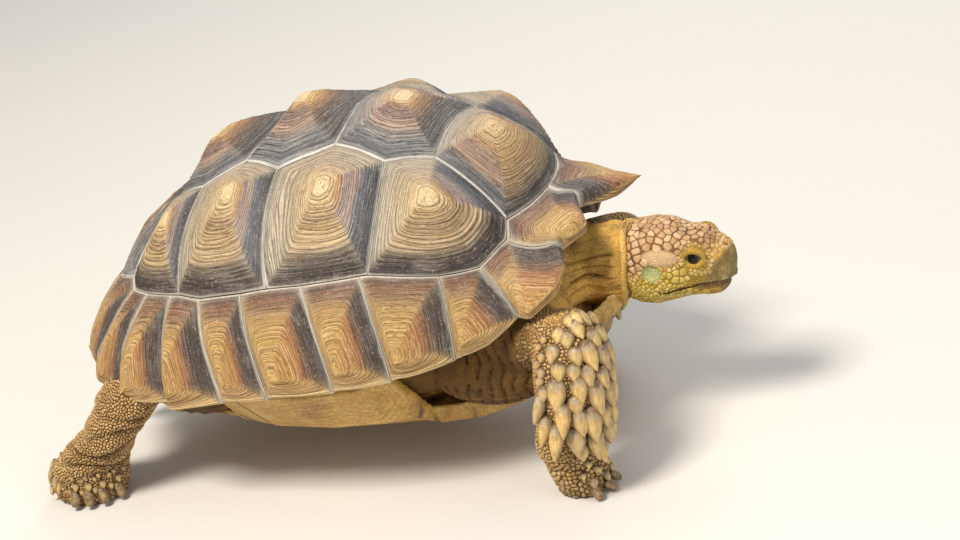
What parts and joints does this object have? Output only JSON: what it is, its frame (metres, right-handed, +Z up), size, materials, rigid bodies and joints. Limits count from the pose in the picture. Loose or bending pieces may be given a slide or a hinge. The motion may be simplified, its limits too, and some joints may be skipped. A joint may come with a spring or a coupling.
{
  "type": "sulcata tortoise",
  "caption": "Life-size still model of a walking sulcata tortoise with a pyramided shell, head raised and forelegs apart, standing on flat soles.",
  "frame": {"origin": "on the floor under the middle of the whole animal's bounding box", "axes": "+X towards the head, +Y towards the animal's left side, +Z up"},
  "size_m": [0.679, 0.3694, 0.3483],
  "materials": {
    "horn": "ridged horn, satin",
    "rim_horn": "ridged horn, satin",
    "plastron_horn": "worn horn, satin",
    "skin": "dry wrinkled skin",
    "scaled_skin": "dry horny scales",
    "eye": "wet gloss"
  },
  "bodies": {
    "root": {"vertebral_1": "horn", "vertebral_2": "horn", "vertebral_3": "horn", "vertebral_4": "horn", "vertebral_5": "horn", "costal_right_1": "horn", "costal_right_2": "horn", "costal_right_3": "horn", "costal_right_4": "horn", "costal_left_1": "horn", "costal_left_2": "horn", "costal_left_3": "horn", "costal_left_4": "horn", "marginal_right_1": "rim_horn", "marginal_right_2": "rim_horn", "marginal_right_3": "rim_horn", "marginal_right_4": "rim_horn", "marginal_right_5": "rim_horn", "marginal_right_6": "rim_horn", "marginal_right_7": "rim_horn", "marginal_right_8": "rim_horn", "marginal_right_9": "rim_horn", "marginal_right_10": "rim_horn", "marginal_right_11": "rim_horn", "marginal_left_1": "rim_horn", "marginal_left_2": "rim_horn", "marginal_left_3": "rim_horn", "marginal_left_4": "rim_horn", "marginal_left_5": "rim_horn", "marginal_left_6": "rim_horn", "marginal_left_7": "rim_horn", "marginal_left_8": "rim_horn", "marginal_left_9": "rim_horn", "marginal_left_10": "rim_horn", "marginal_left_11": "rim_horn", "supracaudal": "rim_horn", "plastron": "plastron_horn", "trunk": "skin", "neck": "skin", "head": "scaled_skin", "foreleg_right": "scaled_skin", "foreleg_left": "scaled_skin", "hindleg_right": "scaled_skin", "hindleg_left": "scaled_skin", "tail": "scaled_skin", "eye_right": "eye", "eye_left": "eye"}
  },
  "joints": []
}
